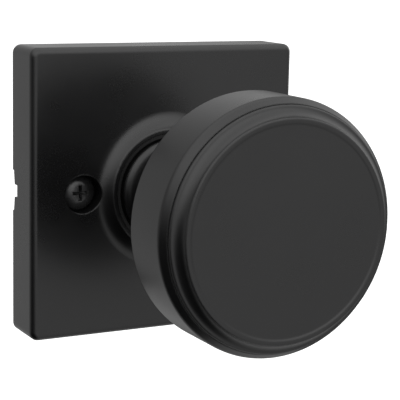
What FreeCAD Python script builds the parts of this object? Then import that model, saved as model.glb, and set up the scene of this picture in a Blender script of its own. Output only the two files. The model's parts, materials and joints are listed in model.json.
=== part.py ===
import FreeCAD, Part
import math
import os
import re

import Sketcher

# Door knob with a square rose. Millimetres. The door face is the plane Y = 0, the knob stands
# out towards -Y, +Z is up, and the origin is on the knob's axis.

doc = FreeCAD.newDocument("DoorKnob")

driving = {
    # square rose cover
    "roseWide": 66.7,
    "roseDeep": 11.8,
    "roseCorner": 2.0,
    "roseRound": 1.4,
    "roseWall": 1.6,
    "notchDeep": 2.75,
    "notchWide": 2.9,
    "notchStep": 1.15,
    "notchEdge": 0.65,
    "notchSpan": 9.4,
    # hub raised from the rose, with the bushing's bore
    "hubTop": 14.2,
    "hubBore": 13.4,
    "hubCrown": 14.45,
    "hubBase": 18.2,
    "hubCove": 4.6,
    "hubEdge": 0.4,
    # screw wells, screws and spacers
    "screwApart": 41.7,
    "wellRadius": 4.45,
    "wellFloor": 7.8,
    "wellWeb": 1.0,
    "wellWall": 0.95,
    "screwRadius": 2.08,
    "screwBody": 1.85,
    "screwHole": 2.4,
    "screwReach": 25.0,
    "headRadius": 4.05,
    "headTall": 2.5,
    "headDome": 1.1,
    "recessLong": 2.1,
    "recessWide": 0.85,
    "recessDeep": 1.5,
    "spacerRadius": 3.4,
    # mounting plate, clips and rivets
    "plateWide": 60.0,
    "plateThick": 1.2,
    "plateCorner": 4.0,
    "clipThick": 0.5,
    "clipWide": 8.0,
    "clipFoot": 5.0,
    "clipTall": 6.5,
    "clipPlace": 18.0,
    "rivetRadius": 1.4,
    "rivetHead": 2.4,
    "rivetTall": 0.9,
    "rivetAcross": 16.0,
    "rivetApart": 43.0,
    # spring cage and its cover
    "cageRadius": 16.6,
    "cageWall": 0.9,
    "cageFront": 5.8,
    "cageSheet": 0.8,
    "cageMouth": 12.6,
    "cageLedge": 6.4,
    "cageLip": 0.4,
    "earWide": 24.0,
    "earLong": 50.0,
    "earCorner": 3.0,
    "lugInner": 14.7,
    "lugReach": 3.9,
    "lugAngle": 18.0,
    "coverRadius": 16.1,
    "coverMouth": 7.0,
    "stopInner": 14.6,
    "stopOuter": 15.5,
    "stopReach": 3.9,
    "stopAngle": 10.0,
    "turnLimit": 55.0,
    # cam on the shank's end
    "camRadius": 14.3,
    "camFront": 4.4,
    "camThick": 1.2,
    "fingerInner": 13.45,
    "fingerOuter": 14.35,
    "fingerReach": 4.6,
    "fingerAngle": 18.0,
    "camEar": 15.3,
    "camEarAngle": 20.0,
    "keyWide": 4.0,
    "keyPlay": 0.1,
    # return spring
    "wireRadius": 0.75,
    "coilRadius": 12.4,
    "coilPitch": 1.65,
    "coilTurns": 4.0,
    "coilRear": 2.8,
    "legAngle": 27.0,
    "legTip": 15.4,
    # neck bushing, washer and rings
    "journal": 12.0,
    "runningGap": 0.06,
    "bushingTop": 13.9,
    "bushingFlange": 15.1,
    "flangeThick": 1.0,
    "bushingFit": 0.05,
    "washerRadius": 14.2,
    "washerFront": 9.05,
    "washerThick": 0.8,
    "ringFront": 8.1,
    "ringThick": 1.0,
    "ringFloor": 11.2,
    "ringRadius": 13.6,
    "ringGap": 7.0,
    "coreRingFloor": 9.05,
    "coreRingRadius": 11.3,
    # shank
    "shankBore": 8.4,
    "shankSmall": 10.0,
    "shankStep": 6.6,
    "shankRear": 6.0,
    "journalFront": 15.2,
    "stemRadius": 9.65,
    "shankFront": 60.2,
    "coreRingFront": 58.7,
    # spindle, its hub and its pin
    "spindleWide": 7.9,
    "spindlePlay": 0.15,
    "spindleRear": 62.0,
    "spindleFront": 14.0,
    "spindleChamfer": 0.8,
    "hubInsertFront": 8.0,
    "pinRadius": 1.5,
    "pinPlay": 0.05,
    "pinDepth": 2.0,
    "pinHalf": 9.8,
    # knob shells
    "neckRear": 15.3,
    "waistRadius": 10.9,
    "waistRound": 3.0,
    "waistRear": 17.84,
    "waistFront": 19.0,
    "flareRound": 41.5,
    "shellThick": 1.2,
    "drumRadius": 27.05,
    "drumRear": 50.3,
    "drumWallEnd": 62.85,
    "drumLip": 64.35,
    "drumLipRadius": 25.75,
    "drumBore": 25.6,
    "drumEdge": 1.4,
    "drumRearEdge": 0.3,
    "seamGap": 0.1,
    "backSkirt": 55.5,
    "faceSkirt": 57.4,
    "beadTop": 65.1,
    "beadRound": 0.3,
    "coveRim": 25.15,
    "coveInner": 23.3,
    "coveTop": 66.9,
    "coveRound": 2.6,
    "rimTop": 67.35,
    "rimRound": 0.35,
    "dishOuter": 22.25,
    "dishInner": 21.85,
    "faceTop": 67.17,
    "faceThick": 1.3,
    # core inside the knob
    "coreHub": 12.6,
    "coreRear": 39.0,
    "coreDisc": 1.7,
    "coreHole": 3.2,
    "coreCircle": 19.9,
}

sheet = doc.addObject("Spreadsheet::Sheet", "dims")
for row, (alias, size) in enumerate(driving.items(), start=1):
    sheet.set("A%d" % row, alias)
    sheet.set("B%d" % row, str(size))
    sheet.setAlias("B%d" % row, alias)
doc.recompute()

upright = FreeCAD.Rotation(FreeCAD.Vector(1, 0, 0), 90)
normalZ = FreeCAD.Vector(0, 0, 1)
origin, hAxis, vAxis = -1, -1, -2
wholeTurn = 360.0


# An expression names cells by their bare aliases; this adds the sheet's name to each one.
def bound(expression):
    def withSheet(word):
        name = word.group()
        return "dims." + name if name in driving else name

    return re.sub("[A-Za-z]+", withSheet, expression)


def valueOf(expression):
    return float(sheet.evalExpression(expression))


def bind(item, place, expression):
    item.setExpression(place, bound(expression))


def newBody(label):
    body = doc.addObject("PartDesign::Body", label)
    body.Label = label
    return body


# A sketch on one of the body's own origin planes, moved along the plane's normal.
def newSketch(body, name, role, offset="0"):
    sketch = body.newObject("Sketcher::SketchObject", body.Label + name)
    plane = next(item for item in body.Origin.OriginFeatures if item.Role == role)
    sketch.AttachmentSupport = (plane, [""])
    sketch.MapMode = "FlatFace"
    bind(sketch, "AttachmentOffset.Base.z", offset)
    doc.recompute()
    return sketch


def constrain(sketch, kind, places, expression):
    index = sketch.addConstraint(Sketcher.Constraint(kind, *places, valueOf(expression)))
    bind(sketch, "Constraints[%d]" % index, expression)


# Ties one point of a sketch to its place.
def locate(sketch, edge, point, across, along):
    for kind, axis, expression in (("DistanceX", vAxis, across), ("DistanceY", hAxis, along)):
        if expression == "0":
            sketch.addConstraint(Sketcher.Constraint("PointOnObject", edge, point, axis))
        else:
            constrain(sketch, kind, (origin, 1, edge, point), expression)


# The arc that leaves start, bends left (turn 1) or right (turn -1) and ends at finish.
def arcBetween(start, finish, radius, turn):
    chord = finish - start
    middle = (start + finish) * 0.5
    left = FreeCAD.Vector(-chord.y, chord.x, 0).normalize()
    centre = middle + left * turn * math.sqrt(radius ** 2 - (chord.Length / 2) ** 2)
    first, last = (start, finish) if turn > 0 else (finish, start)
    low = math.atan2(first.y - centre.y, first.x - centre.x)
    high = math.atan2(last.y - centre.y, last.x - centre.x)
    if high < low:
        high += 2 * math.pi
    return Part.ArcOfCircle(Part.Circle(centre, normalZ, radius), low, high)


# A closed outline. Each corner is (across, along) or (across, along, radius, turn), where the
# radius bends the side that leaves the corner.
def drawOutline(sketch, corners):
    points = [FreeCAD.Vector(valueOf(corner[0]), valueOf(corner[1]), 0) for corner in corners]
    ends = []
    for index, corner in enumerate(corners):
        start = points[index]
        finish = points[(index + 1) % len(points)]
        if len(corner) == 2:
            edge = sketch.addGeometry(Part.LineSegment(start, finish), False)
            ends.append((edge, 1, 2))
            continue
        edge = sketch.addGeometry(arcBetween(start, finish, valueOf(corner[2]), corner[3]), False)
        ends.append((edge, 1, 2) if corner[3] > 0 else (edge, 2, 1))
    for index, (edge, first, last) in enumerate(ends):
        following = ends[(index + 1) % len(ends)]
        sketch.addConstraint(Sketcher.Constraint("Coincident", edge, last, following[0], following[1]))
    for (edge, first, last), corner in zip(ends, corners):
        locate(sketch, edge, first, corner[0], corner[1])
        if len(corner) > 2:
            constrain(sketch, "Radius", (edge,), corner[2])


def drawCircle(sketch, across, along, radius):
    centre = FreeCAD.Vector(valueOf(across), valueOf(along), 0)
    edge = sketch.addGeometry(Part.Circle(centre, normalZ, valueOf(radius)), False)
    locate(sketch, edge, 3, across, along)
    constrain(sketch, "Radius", (edge,), radius)


def drawBox(sketch, left, bottom, right, top):
    drawOutline(sketch, [(left, bottom), (right, bottom), (right, top), (left, top)])


def pad(sketch, length, toRear=False, midplane=False):
    body = sketch.getParentGeoFeatureGroup()
    feature = body.newObject("PartDesign::Pad", sketch.Name + "Pad")
    feature.Profile = sketch
    feature.Reversed = toRear
    feature.Midplane = midplane
    bind(feature, "Length", length)
    doc.recompute()
    return feature


# A pocket has to take something away, or the sketch is in the wrong place.
def pocket(sketch, length, toFront=False, midplane=False):
    body = sketch.getParentGeoFeatureGroup()
    before = body.Shape.Volume
    feature = body.newObject("PartDesign::Pocket", sketch.Name + "Pocket")
    feature.Profile = sketch
    feature.Reversed = toFront
    feature.Midplane = midplane
    bind(feature, "Length", length)
    doc.recompute()
    if feature.Shape.Volume >= before:
        raise RuntimeError("%s cuts nothing" % feature.Name)
    return feature


# Turns a profile drawn on the XY plane about the knob's axis.
def revolve(body, name, corners):
    sketch = newSketch(body, name, "XY_Plane")
    drawOutline(sketch, corners)
    feature = body.newObject("PartDesign::Revolution", sketch.Name + "Turned")
    feature.Profile = sketch
    feature.ReferenceAxis = (sketch, ["V_Axis"])
    feature.Angle = wholeTurn
    doc.recompute()


# A block swept part of a turn about the knob's axis, centred over +Z (side 1) or -Z (side -1).
# turned moves its middle on by that angle, clockwise or back by the sign of turnSense.
def sector(body, name, side, inner, outer, rear, front, angle, turned="0", turnSense=1):
    sketch = newSketch(body, name, "YZ_Plane")
    low, high = (inner, outer) if side > 0 else ("-(%s)" % outer, "-(%s)" % inner)
    drawBox(sketch, front, low, rear, high)
    if turned != "0":
        sketch.AttachmentOffset = FreeCAD.Placement(
            FreeCAD.Vector(), FreeCAD.Rotation(FreeCAD.Vector(turnSense, 0, 0), valueOf(turned)))
        bind(sketch, "AttachmentOffset.Rotation.Angle", turned)
    feature = body.newObject("PartDesign::Revolution", sketch.Name + "Turned")
    feature.Profile = sketch
    feature.ReferenceAxis = (sketch, ["H_Axis"])
    feature.Midplane = True
    bind(feature, "Angle", angle)
    doc.recompute()
    return feature


# Rounds or bevels the edges of the body that the test picks.
def dress(body, kind, size, picks):
    tip = body.Tip
    names = ["Edge%d" % (index + 1) for index, edge in enumerate(tip.Shape.Edges) if picks(edge)]
    feature = body.newObject("PartDesign::" + kind, body.Label + kind)
    feature.Base = (tip, names)
    bind(feature, "Radius" if kind == "Fillet" else "Size", size)
    doc.recompute()
    return feature


# True for a straight edge along Y at a corner of the plate, not for the seam of a round hole.
def isCorner(edge, wide, long):
    middle = edge.BoundBox.Center
    near = 0.01
    return abs(abs(middle.x) - valueOf(wide) / 2) < near and abs(abs(middle.z) - valueOf(long) / 2) < near


# True for a circular edge about the knob's axis with this radius and place.
def isRing(edge, radius, along):
    if edge.Degenerated or not isinstance(edge.Curve, Part.Circle):
        return False
    curve = edge.Curve
    near = 0.01
    return abs(curve.Radius - valueOf(radius)) < near and abs(curve.Center.y - valueOf(along)) < near


def group(label, members):
    compound = doc.addObject("Part::Compound", label)
    compound.Links = members
    compound.Label = label
    doc.recompute()
    return compound


def roseCover():
    body = newBody("rose_cover")
    outline = newSketch(body, "Outline", "XZ_Plane")
    drawBox(outline, "-roseWide / 2", "-roseWide / 2", "roseWide / 2", "roseWide / 2")
    pad(outline, "roseDeep")
    dress(body, "Fillet", "roseCorner", lambda edge: edge.BoundBox.YLength > 1)
    dress(body, "Fillet", "roseRound", lambda edge: edge.BoundBox.YMax < -1)
    hollow = newSketch(body, "Hollow", "XZ_Plane")
    inside = "(roseWide / 2 - roseWall)"
    drawBox(hollow, "-" + inside, "-" + inside, inside, inside)
    pocket(hollow, "roseDeep - roseWall", toFront=True)
    revolve(body, "Hub", [
        ("hubBore", "roseWall - roseDeep"),
        ("hubBore", "-hubTop"),
        ("hubCrown", "-hubTop", "hubCove", -1),
        ("hubBase", "-roseDeep"),
        ("hubBase", "roseWall - roseDeep"),
    ])
    dress(body, "Fillet", "hubEdge", lambda edge: isRing(edge, "hubCrown", "-hubTop"))
    bore = newSketch(body, "Bore", "XZ_Plane", "hubTop")
    drawCircle(bore, "0", "0", "hubBore")
    pocket(bore, "hubTop")
    wells = newSketch(body, "Wells", "XZ_Plane", "wellFloor - wellWeb")
    for side in ("-", ""):
        drawCircle(wells, side + "screwApart / 2", "0", "wellRadius + wellWall")
    pad(wells, "roseDeep - roseWall / 2 - wellFloor + wellWeb")
    counterbores = newSketch(body, "Counterbores", "XZ_Plane", "hubTop")
    holes = newSketch(body, "Holes", "XZ_Plane", "hubTop")
    for side in ("-", ""):
        drawCircle(counterbores, side + "screwApart / 2", "0", "wellRadius")
        drawCircle(holes, side + "screwApart / 2", "0", "screwHole")
    pocket(counterbores, "hubTop - wellFloor")
    pocket(holes, "hubTop")
    # the pry notch in the left wall's rear edge
    notch = newSketch(body, "Notch", "YZ_Plane", "roseWall * 1.5 - roseWide / 2")
    drawOutline(notch, [
        ("roseWall", "-notchSpan / 2"),
        ("-notchEdge", "-notchSpan / 2"),
        ("-notchStep", "-notchWide / 2"),
        ("-notchDeep", "-notchWide / 2"),
        ("-notchDeep", "notchWide / 2"),
        ("-notchStep", "notchWide / 2"),
        ("-notchEdge", "notchSpan / 2"),
        ("roseWall", "notchSpan / 2"),
    ])
    pocket(notch, "roseWall * 2")
    return body


def mountingPlate():
    body = newBody("mounting_plate")
    outline = newSketch(body, "Outline", "XZ_Plane")
    drawBox(outline, "-plateWide / 2", "-plateWide / 2", "plateWide / 2", "plateWide / 2")
    drawCircle(outline, "0", "0", "cageRadius + seamGap")
    for side in ("-", ""):
        drawCircle(outline, side + "screwApart / 2", "0", "screwHole")
        for level in ("-", ""):
            drawCircle(outline, side + "rivetAcross / 2", level + "rivetApart / 2", "rivetRadius")
    pad(outline, "plateThick")
    dress(body, "Fillet", "plateCorner", lambda edge: isCorner(edge, "plateWide", "plateWide"))
    return body


def screwSpacers():
    members = []
    for side, name in (("-", "left"), ("", "right")):
        body = newBody(name + "_screw_spacer")
        ring = newSketch(body, "Ring", "XZ_Plane", "plateThick")
        for radius in ("spacerRadius", "screwHole"):
            drawCircle(ring, side + "screwApart / 2", "0", radius)
        pad(ring, "wellFloor - wellWeb - plateThick")
        members.append(body)
    return group("screw_spacers", members)


# A pan-head screw with a cross recess, turned about its own axis and moved into its well. The
# thread starts at the door face, and the plain body under the head is thinner than the thread.
def mountingScrews():
    members = []
    for side, name in (("-", "left"), ("", "right")):
        body = newBody(name + "_mounting_screw")
        revolve(body, "Profile", [
            ("0", "screwReach"),
            ("screwRadius - 0.5", "screwReach"),
            ("screwRadius", "screwReach - 0.8"),
            ("screwRadius", "0"),
            ("screwBody", "0"),
            ("screwBody", "-wellFloor"),
            ("headRadius - 0.15", "-wellFloor"),
            ("headRadius", "-wellFloor - 0.3"),
            ("headRadius", "headDome - wellFloor - headTall", "headDome * 1.15", -1),
            ("headRadius - headDome", "-wellFloor - headTall"),
            ("0", "-wellFloor - headTall"),
        ])
        recess = newSketch(body, "Recess", "XZ_Plane", "wellFloor + headTall")
        arm, half = "recessLong", "recessWide / 2"
        drawOutline(recess, [
            ("-" + arm, "-" + half), ("-" + half, "-" + half),
            ("-" + half, "-" + arm), (half, "-" + arm),
            (half, "-" + half), (arm, "-" + half),
            (arm, half), (half, half),
            (half, arm), ("-" + half, arm),
            ("-" + half, half), ("-" + arm, half),
        ])
        pocket(recess, "recessDeep")
        bind(body, "Placement.Base.x", side + "screwApart / 2")
        members.append(body)
    return group("mounting_screws", members)


# Leaf clips on the plate's left and right edges, bent up along the cover's walls.
def plateClips():
    members = []
    for side, sideName in (("-", "left"), ("", "right")):
        for level, levelName in (("-", "lower"), ("", "upper")):
            body = newBody("%s_%s_clip" % (levelName, sideName))
            profile = newSketch(body, "Profile", "XY_Plane", level + "clipPlace")
            wall = side + "(roseWide / 2 - roseWall - %s)"
            drawOutline(profile, [
                (wall % "clipFoot", "-plateThick"),
                (wall % "clipThick * 1.6", "-plateThick"),
                (wall % "clipThick * 0.2", "-clipTall * 0.6"),
                (wall % "clipThick * 1.2", "-clipTall"),
                (wall % "clipThick * 2.2", "-clipTall"),
                (wall % "clipThick * 1.2", "-clipTall * 0.6"),
                (wall % "clipThick * 2.4", "-plateThick - clipThick"),
                (wall % "clipFoot", "-plateThick - clipThick"),
            ])
            pad(profile, "clipWide", midplane=True)
            members.append(body)
    return group("plate_clips", members)


def springCage():
    body = newBody("spring_cage")
    inner = "cageRadius - cageWall"
    ledge = "cageRadius - cageLip"
    revolve(body, "Cup", [
        ("cageMouth", "-cageFront"),
        ("cageRadius", "-cageFront"),
        ("cageRadius", "cageLedge + cageSheet + cageLip"),
        (inner, "cageLedge + cageSheet + cageLip"),
        (inner, "cageLedge + cageSheet"),
        (ledge, "cageLedge + cageSheet"),
        (ledge, "cageLedge"),
        (inner, "cageLedge"),
        (inner, "cageSheet - cageFront"),
        ("cageMouth", "cageSheet - cageFront"),
    ])
    ears = newSketch(body, "Ears", "XZ_Plane", "plateThick")
    drawBox(ears, "-earWide / 2", "-earLong / 2", "earWide / 2", "earLong / 2")
    for side in ("-", ""):
        for level in ("-", ""):
            drawCircle(ears, side + "rivetAcross / 2", level + "rivetApart / 2", "rivetRadius")
    pad(ears, "cageSheet")
    dress(body, "Fillet", "earCorner", lambda edge: isCorner(edge, "earWide", "earLong"))
    inside = newSketch(body, "Inside", "XZ_Plane", "plateThick")
    drawCircle(inside, "0", "0", inner)
    pocket(inside, "cageSheet", toFront=True)
    sector(body, "Lug", 1, "lugInner", inner + " + cageWall / 3", "lugReach",
           "cageSheet / 2 - cageFront", "lugAngle")
    return body


def cageCover():
    body = newBody("cage_cover")
    disc = newSketch(body, "Disc", "XZ_Plane", "-cageLedge - cageSheet")
    drawCircle(disc, "0", "0", "coverRadius")
    drawCircle(disc, "0", "0", "coverMouth")
    pad(disc, "cageSheet")
    reach = "turnLimit + camEarAngle / 2 + stopAngle / 2 + 1"
    for turnSense, name in ((1, "LeftStop"), (-1, "RightStop")):
        sector(body, name, -1, "stopInner", "stopOuter", "cageLedge + cageSheet / 2",
               "stopReach", "stopAngle", reach, turnSense)
    return body


def cageRivets():
    members = []
    for side, sideName in (("-", "left"), ("", "right")):
        for level, levelName in (("-", "lower"), ("", "upper")):
            body = newBody("%s_%s_rivet" % (levelName, sideName))
            top = "-plateThick - cageSheet"
            revolve(body, "Profile", [
                ("0", "0"),
                ("rivetRadius", "0"),
                ("rivetRadius", top),
                ("rivetHead", top),
                ("rivetHead * 0.45", top + " - rivetTall"),
                ("0", top + " - rivetTall"),
            ])
            bind(body, "Placement.Base.x", side + "rivetAcross / 2")
            bind(body, "Placement.Base.z", level + "rivetApart / 2")
            members.append(body)
    return group("cage_rivets", members)


def neckBushing():
    body = newBody("neck_bushing")
    flangeFront = "roseWall - roseDeep"
    bore = "journal + runningGap"
    revolve(body, "Profile", [
        (bore, flangeFront + " + flangeThick"),
        ("bushingFlange", flangeFront + " + flangeThick"),
        ("bushingFlange", flangeFront),
        ("hubBore - bushingFit", flangeFront),
        ("hubBore - bushingFit", "-bushingTop"),
        (bore + " + flangeThick / 2", "-bushingTop"),
        (bore, "flangeThick / 2 - bushingTop"),
    ])
    return body


def returnSpring():
    rearAngle = valueOf("90 + legAngle / 2")
    turns = "(coilTurns - legAngle / 360)"
    startPlace = FreeCAD.Placement(
        FreeCAD.Vector(0, valueOf("coilRear"), 0),
        upright * FreeCAD.Rotation(normalZ, rearAngle))
    helix = doc.addObject("Part::Helix", "SpringHelix")
    bind(helix, "Pitch", "coilPitch")
    bind(helix, "Height", "coilPitch * " + turns)
    bind(helix, "Radius", "coilRadius")
    helix.Placement = startPlace
    section = doc.addObject("Part::Circle", "SpringSection")
    bind(section, "Radius", "wireRadius")
    section.Placement = startPlace.multiply(FreeCAD.Placement(
        FreeCAD.Vector(valueOf("coilRadius"), 0, 0),
        FreeCAD.Rotation(FreeCAD.Vector(1, 0, 0), -90)))
    coil = doc.addObject("Part::Sweep", "SpringCoil")
    coil.Sections = [section]
    coil.Spine = (helix, [])
    coil.Solid = True
    coil.Frenet = True
    pieces = [coil]
    outward = FreeCAD.Rotation(FreeCAD.Vector(0, 1, 0), 90)
    for name, angle, along in (
            ("SpringRearLeg", "90 + legAngle / 2", "coilRear"),
            ("SpringFrontLeg", "90 - legAngle / 2", "coilRear - coilPitch * " + turns)):
        leg = doc.addObject("Part::Cylinder", name)
        bind(leg, "Radius", "wireRadius")
        bind(leg, "Height", "legTip - coilRadius")
        legPlace = FreeCAD.Placement(
            FreeCAD.Vector(0, valueOf(along), 0),
            upright * FreeCAD.Rotation(normalZ, valueOf(angle)))
        leg.Placement = legPlace.multiply(
            FreeCAD.Placement(FreeCAD.Vector(valueOf("coilRadius"), 0, 0), outward))
        pieces.append(leg)
    spring = doc.addObject("Part::MultiFuse", "return_spring")
    spring.Shapes = pieces
    spring.Label = "return_spring"
    doc.recompute()
    return spring


def knobShank():
    body = newBody("knob_shank")
    revolve(body, "Profile", [
        ("shankBore", "shankRear"),
        ("shankSmall", "shankRear"),
        ("shankSmall", "-shankStep"),
        ("journal", "-shankStep"),
        ("journal", "ringThick - ringFront"),
        ("ringFloor", "ringThick - ringFront"),
        ("ringFloor", "-ringFront"),
        ("journal", "-ringFront"),
        ("journal", "-journalFront"),
        ("stemRadius", "-journalFront"),
        ("stemRadius", "ringThick - coreRingFront"),
        ("coreRingFloor", "ringThick - coreRingFront"),
        ("coreRingFloor", "-coreRingFront"),
        ("stemRadius", "-coreRingFront"),
        ("stemRadius", "-shankFront"),
        ("shankBore", "-shankFront"),
    ])
    slots = newSketch(body, "Slots", "XZ_Plane", "-shankRear")
    drawBox(slots, "-journal", "-keyWide / 2", "journal", "keyWide / 2")
    pocket(slots, "shankRear - camFront + keyPlay", toFront=True)
    pinHole(body)
    return body


# The cross hole for the spindle pin.
def pinHole(body):
    hole = newSketch(body, "PinHole", "XY_Plane")
    drawCircle(hole, "0", "-pinDepth", "pinRadius + pinPlay")
    return pocket(hole, "journal * 2.5", midplane=True)


def retainer(label, front, inner, outer):
    body = newBody(label)
    ring = newSketch(body, "Ring", "XZ_Plane", front + " - ringThick")
    drawCircle(ring, "0", "0", outer)
    drawCircle(ring, "0", "0", inner)
    pad(ring, "ringThick")
    mouth = newSketch(body, "Mouth", "XZ_Plane", front + " - ringThick")
    drawBox(mouth, "-ringGap / 2", "0", "ringGap / 2", outer + " + 1")
    pocket(mouth, "ringThick", toFront=True)
    return body


def thrustWasher():
    body = newBody("thrust_washer")
    ring = newSketch(body, "Ring", "XZ_Plane", "washerFront - washerThick")
    drawCircle(ring, "0", "0", "washerRadius")
    drawCircle(ring, "0", "0", "journal + bushingFit")
    pad(ring, "washerThick")
    return body


def driveCam():
    body = newBody("drive_cam")
    disc = newSketch(body, "Disc", "XZ_Plane", "-camFront - camThick")
    drawCircle(disc, "0", "0", "camRadius")
    drawCircle(disc, "0", "0", "shankSmall + bushingFit")
    pad(disc, "camThick")
    for side, name in (("-", "LeftKey"), ("", "RightKey")):
        key = newSketch(body, name, "XZ_Plane", "-camFront - camThick")
        half = "(keyWide / 2 - keyPlay)"
        drawBox(key, side + "(shankBore + keyPlay)", "-" + half, side + "(shankSmall + 1)", half)
        pad(key, "camThick")
    sector(body, "Finger", 1, "fingerInner", "fingerOuter", "camFront + camThick",
           "-fingerReach", "fingerAngle")
    sector(body, "Ear", -1, "camRadius - 1", "camEar", "camFront + camThick", "camFront",
           "camEarAngle")
    return body


def spindleHub():
    body = newBody("spindle_hub")
    disc = newSketch(body, "Disc", "XZ_Plane", "-shankRear")
    drawCircle(disc, "0", "0", "shankBore")
    half = "(spindleWide / 2 + spindlePlay / 2)"
    drawBox(disc, "-" + half, "-" + half, half, half)
    pad(disc, "shankRear + hubInsertFront")
    pinHole(body)
    return body


def spindle():
    body = newBody("spindle")
    section = newSketch(body, "Section", "XZ_Plane", "-spindleRear")
    drawBox(section, "-spindleWide / 2", "-spindleWide / 2", "spindleWide / 2", "spindleWide / 2")
    pad(section, "spindleRear + spindleFront")
    dress(body, "Chamfer", "spindleChamfer", lambda edge: edge.BoundBox.YLength < 1)
    pinHole(body)
    return body


def spindlePin():
    body = newBody("spindle_pin")
    section = newSketch(body, "Section", "XY_Plane")
    drawCircle(section, "0", "-pinDepth", "pinRadius")
    pad(section, "pinHalf * 2", midplane=True)
    return body


# A thin shell: a short lip beside the hub, a waist, then a flare out to the drum.
def knobBack():
    body = newBody("knob_back")
    skirt = "drumBore - seamGap"
    skirtInner = skirt + " - shellThick"
    waistInner = "waistRadius - shellThick"
    lip = "waistRadius + waistRound - sqrt((%s)^2 - (waistRear - neckRear)^2)"
    drop = "-waistFront - sqrt((%s)^2 - (waistRadius + flareRound - (%s))^2)"
    revolve(body, "Profile", [
        (lip % "waistRound + shellThick", "-neckRear"),
        (lip % "waistRound", "-neckRear", "waistRound", 1),
        ("waistRadius", "-waistRear"),
        ("waistRadius", "-waistFront", "flareRound", 1),
        (skirt, drop % ("flareRound", skirt)),
        (skirt, "-backSkirt"),
        (skirtInner, "-backSkirt"),
        (skirtInner, drop % ("flareRound + shellThick", skirtInner), "flareRound + shellThick", -1),
        (waistInner, "-waistFront"),
        (waistInner, "-waistRear", "waistRound + shellThick", -1),
    ])
    return body


def knobDrum():
    body = newBody("knob_drum")
    revolve(body, "Profile", [
        ("drumBore", "-drumRear"),
        ("drumRadius", "-drumRear"),
        ("drumRadius", "-drumWallEnd"),
        ("drumLipRadius", "-drumLip"),
        ("drumBore", "-drumLip"),
    ])
    dress(body, "Fillet", "drumEdge", lambda edge: isRing(edge, "drumRadius", "-drumWallEnd"))
    dress(body, "Fillet", "drumRearEdge", lambda edge: isRing(edge, "drumRadius", "-drumRear"))
    return body


def knobFace():
    body = newBody("knob_face")
    skirt = "drumBore - seamGap"
    skirtInner = skirt + " - shellThick"
    revolve(body, "Profile", [
        (skirtInner, "-faceSkirt"),
        (skirt, "-faceSkirt"),
        (skirt, "beadRound - beadTop", "beadRound", -1),
        (skirt + " - beadRound", "-beadTop"),
        ("coveRim", "-beadTop", "coveRound", 1),
        ("coveInner", "-coveTop"),
        ("coveInner", "rimRound - rimTop", "rimRound", -1),
        ("coveInner - rimRound", "-rimTop"),
        ("dishOuter", "-rimTop"),
        ("dishInner", "-faceTop"),
        ("0", "-faceTop"),
        ("0", "faceThick - faceTop"),
        ("dishInner", "faceThick - faceTop"),
        (skirtInner, "faceThick * 2 - faceTop"),
    ])
    return body


def knobCore():
    body = newBody("knob_core")
    front = "-faceSkirt + seamGap"
    revolve(body, "Profile", [
        ("stemRadius", "-coreRear"),
        ("coreHub", "-coreRear"),
        ("coreHub", front + " + coreDisc"),
        ("drumBore - seamGap", front + " + coreDisc"),
        ("drumBore - seamGap", front),
        ("stemRadius", front),
    ])
    holes = newSketch(body, "Holes", "XZ_Plane", "faceSkirt")
    drawCircle(holes, "coreCircle", "0", "coreHole")
    cut = pocket(holes, "coreDisc * 2")
    pattern = body.newObject("PartDesign::PolarPattern", "CoreHolePattern")
    pattern.Originals = [cut]
    pattern.Axis = (holes, ["N_Axis"])
    pattern.Angle = wholeTurn
    pattern.Occurrences = 6
    body.Tip = pattern
    doc.recompute()
    return body


pieces = [
    roseCover(),
    mountingPlate(),
    screwSpacers(),
    mountingScrews(),
    plateClips(),
    springCage(),
    cageCover(),
    cageRivets(),
    neckBushing(),
    returnSpring(),
    knobShank(),
    retainer("retaining_ring", "ringFront", "ringFloor", "ringRadius"),
    retainer("core_ring", "coreRingFront", "coreRingFloor", "coreRingRadius"),
    thrustWasher(),
    driveCam(),
    spindleHub(),
    spindle(),
    spindlePin(),
    knobBack(),
    knobDrum(),
    knobFace(),
    knobCore(),
]
doc.recompute()

broken = [item.Label for item in doc.Objects if "Invalid" in item.State or "Error" in item.State]
broken += [piece.Label for piece in pieces if piece.Shape.isNull() or not piece.Shape.isValid()]
if broken:
    raise RuntimeError("not built: " + ", ".join(broken))

os.makedirs("parts", exist_ok=True)
for piece in pieces:
    piece.Shape.exportStep("parts/%s.step" % piece.Label)
    print(piece.Label, len(piece.Shape.Solids), round(piece.Shape.Volume, 1))
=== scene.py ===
import bmesh
import bpy
import json
import math
from mathutils import Matrix, Vector


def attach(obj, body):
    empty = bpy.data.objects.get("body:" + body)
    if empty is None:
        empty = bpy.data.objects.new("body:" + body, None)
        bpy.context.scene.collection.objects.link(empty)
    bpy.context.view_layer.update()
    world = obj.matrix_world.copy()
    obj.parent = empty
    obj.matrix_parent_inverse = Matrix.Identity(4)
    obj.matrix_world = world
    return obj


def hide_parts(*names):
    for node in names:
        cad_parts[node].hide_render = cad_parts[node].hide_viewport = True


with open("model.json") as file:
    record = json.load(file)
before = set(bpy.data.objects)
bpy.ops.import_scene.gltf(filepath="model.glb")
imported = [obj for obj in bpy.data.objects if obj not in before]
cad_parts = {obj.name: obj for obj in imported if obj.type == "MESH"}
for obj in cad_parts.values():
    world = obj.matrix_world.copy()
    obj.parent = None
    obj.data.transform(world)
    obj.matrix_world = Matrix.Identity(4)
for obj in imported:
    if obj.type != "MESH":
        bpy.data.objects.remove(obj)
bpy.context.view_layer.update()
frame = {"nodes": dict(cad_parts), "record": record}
mm = 0.001
print("frame loaded:", len(frame["nodes"]), "nodes")

cameraView = {
    "azimuth": -28.01,  # degrees; 0 looks along +Y
    "elevation": 10.21,
    "roll": 1.25,
    "place": (-0.1470, -0.3054, 0.0567),
    "lens": 128.30,
}


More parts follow.
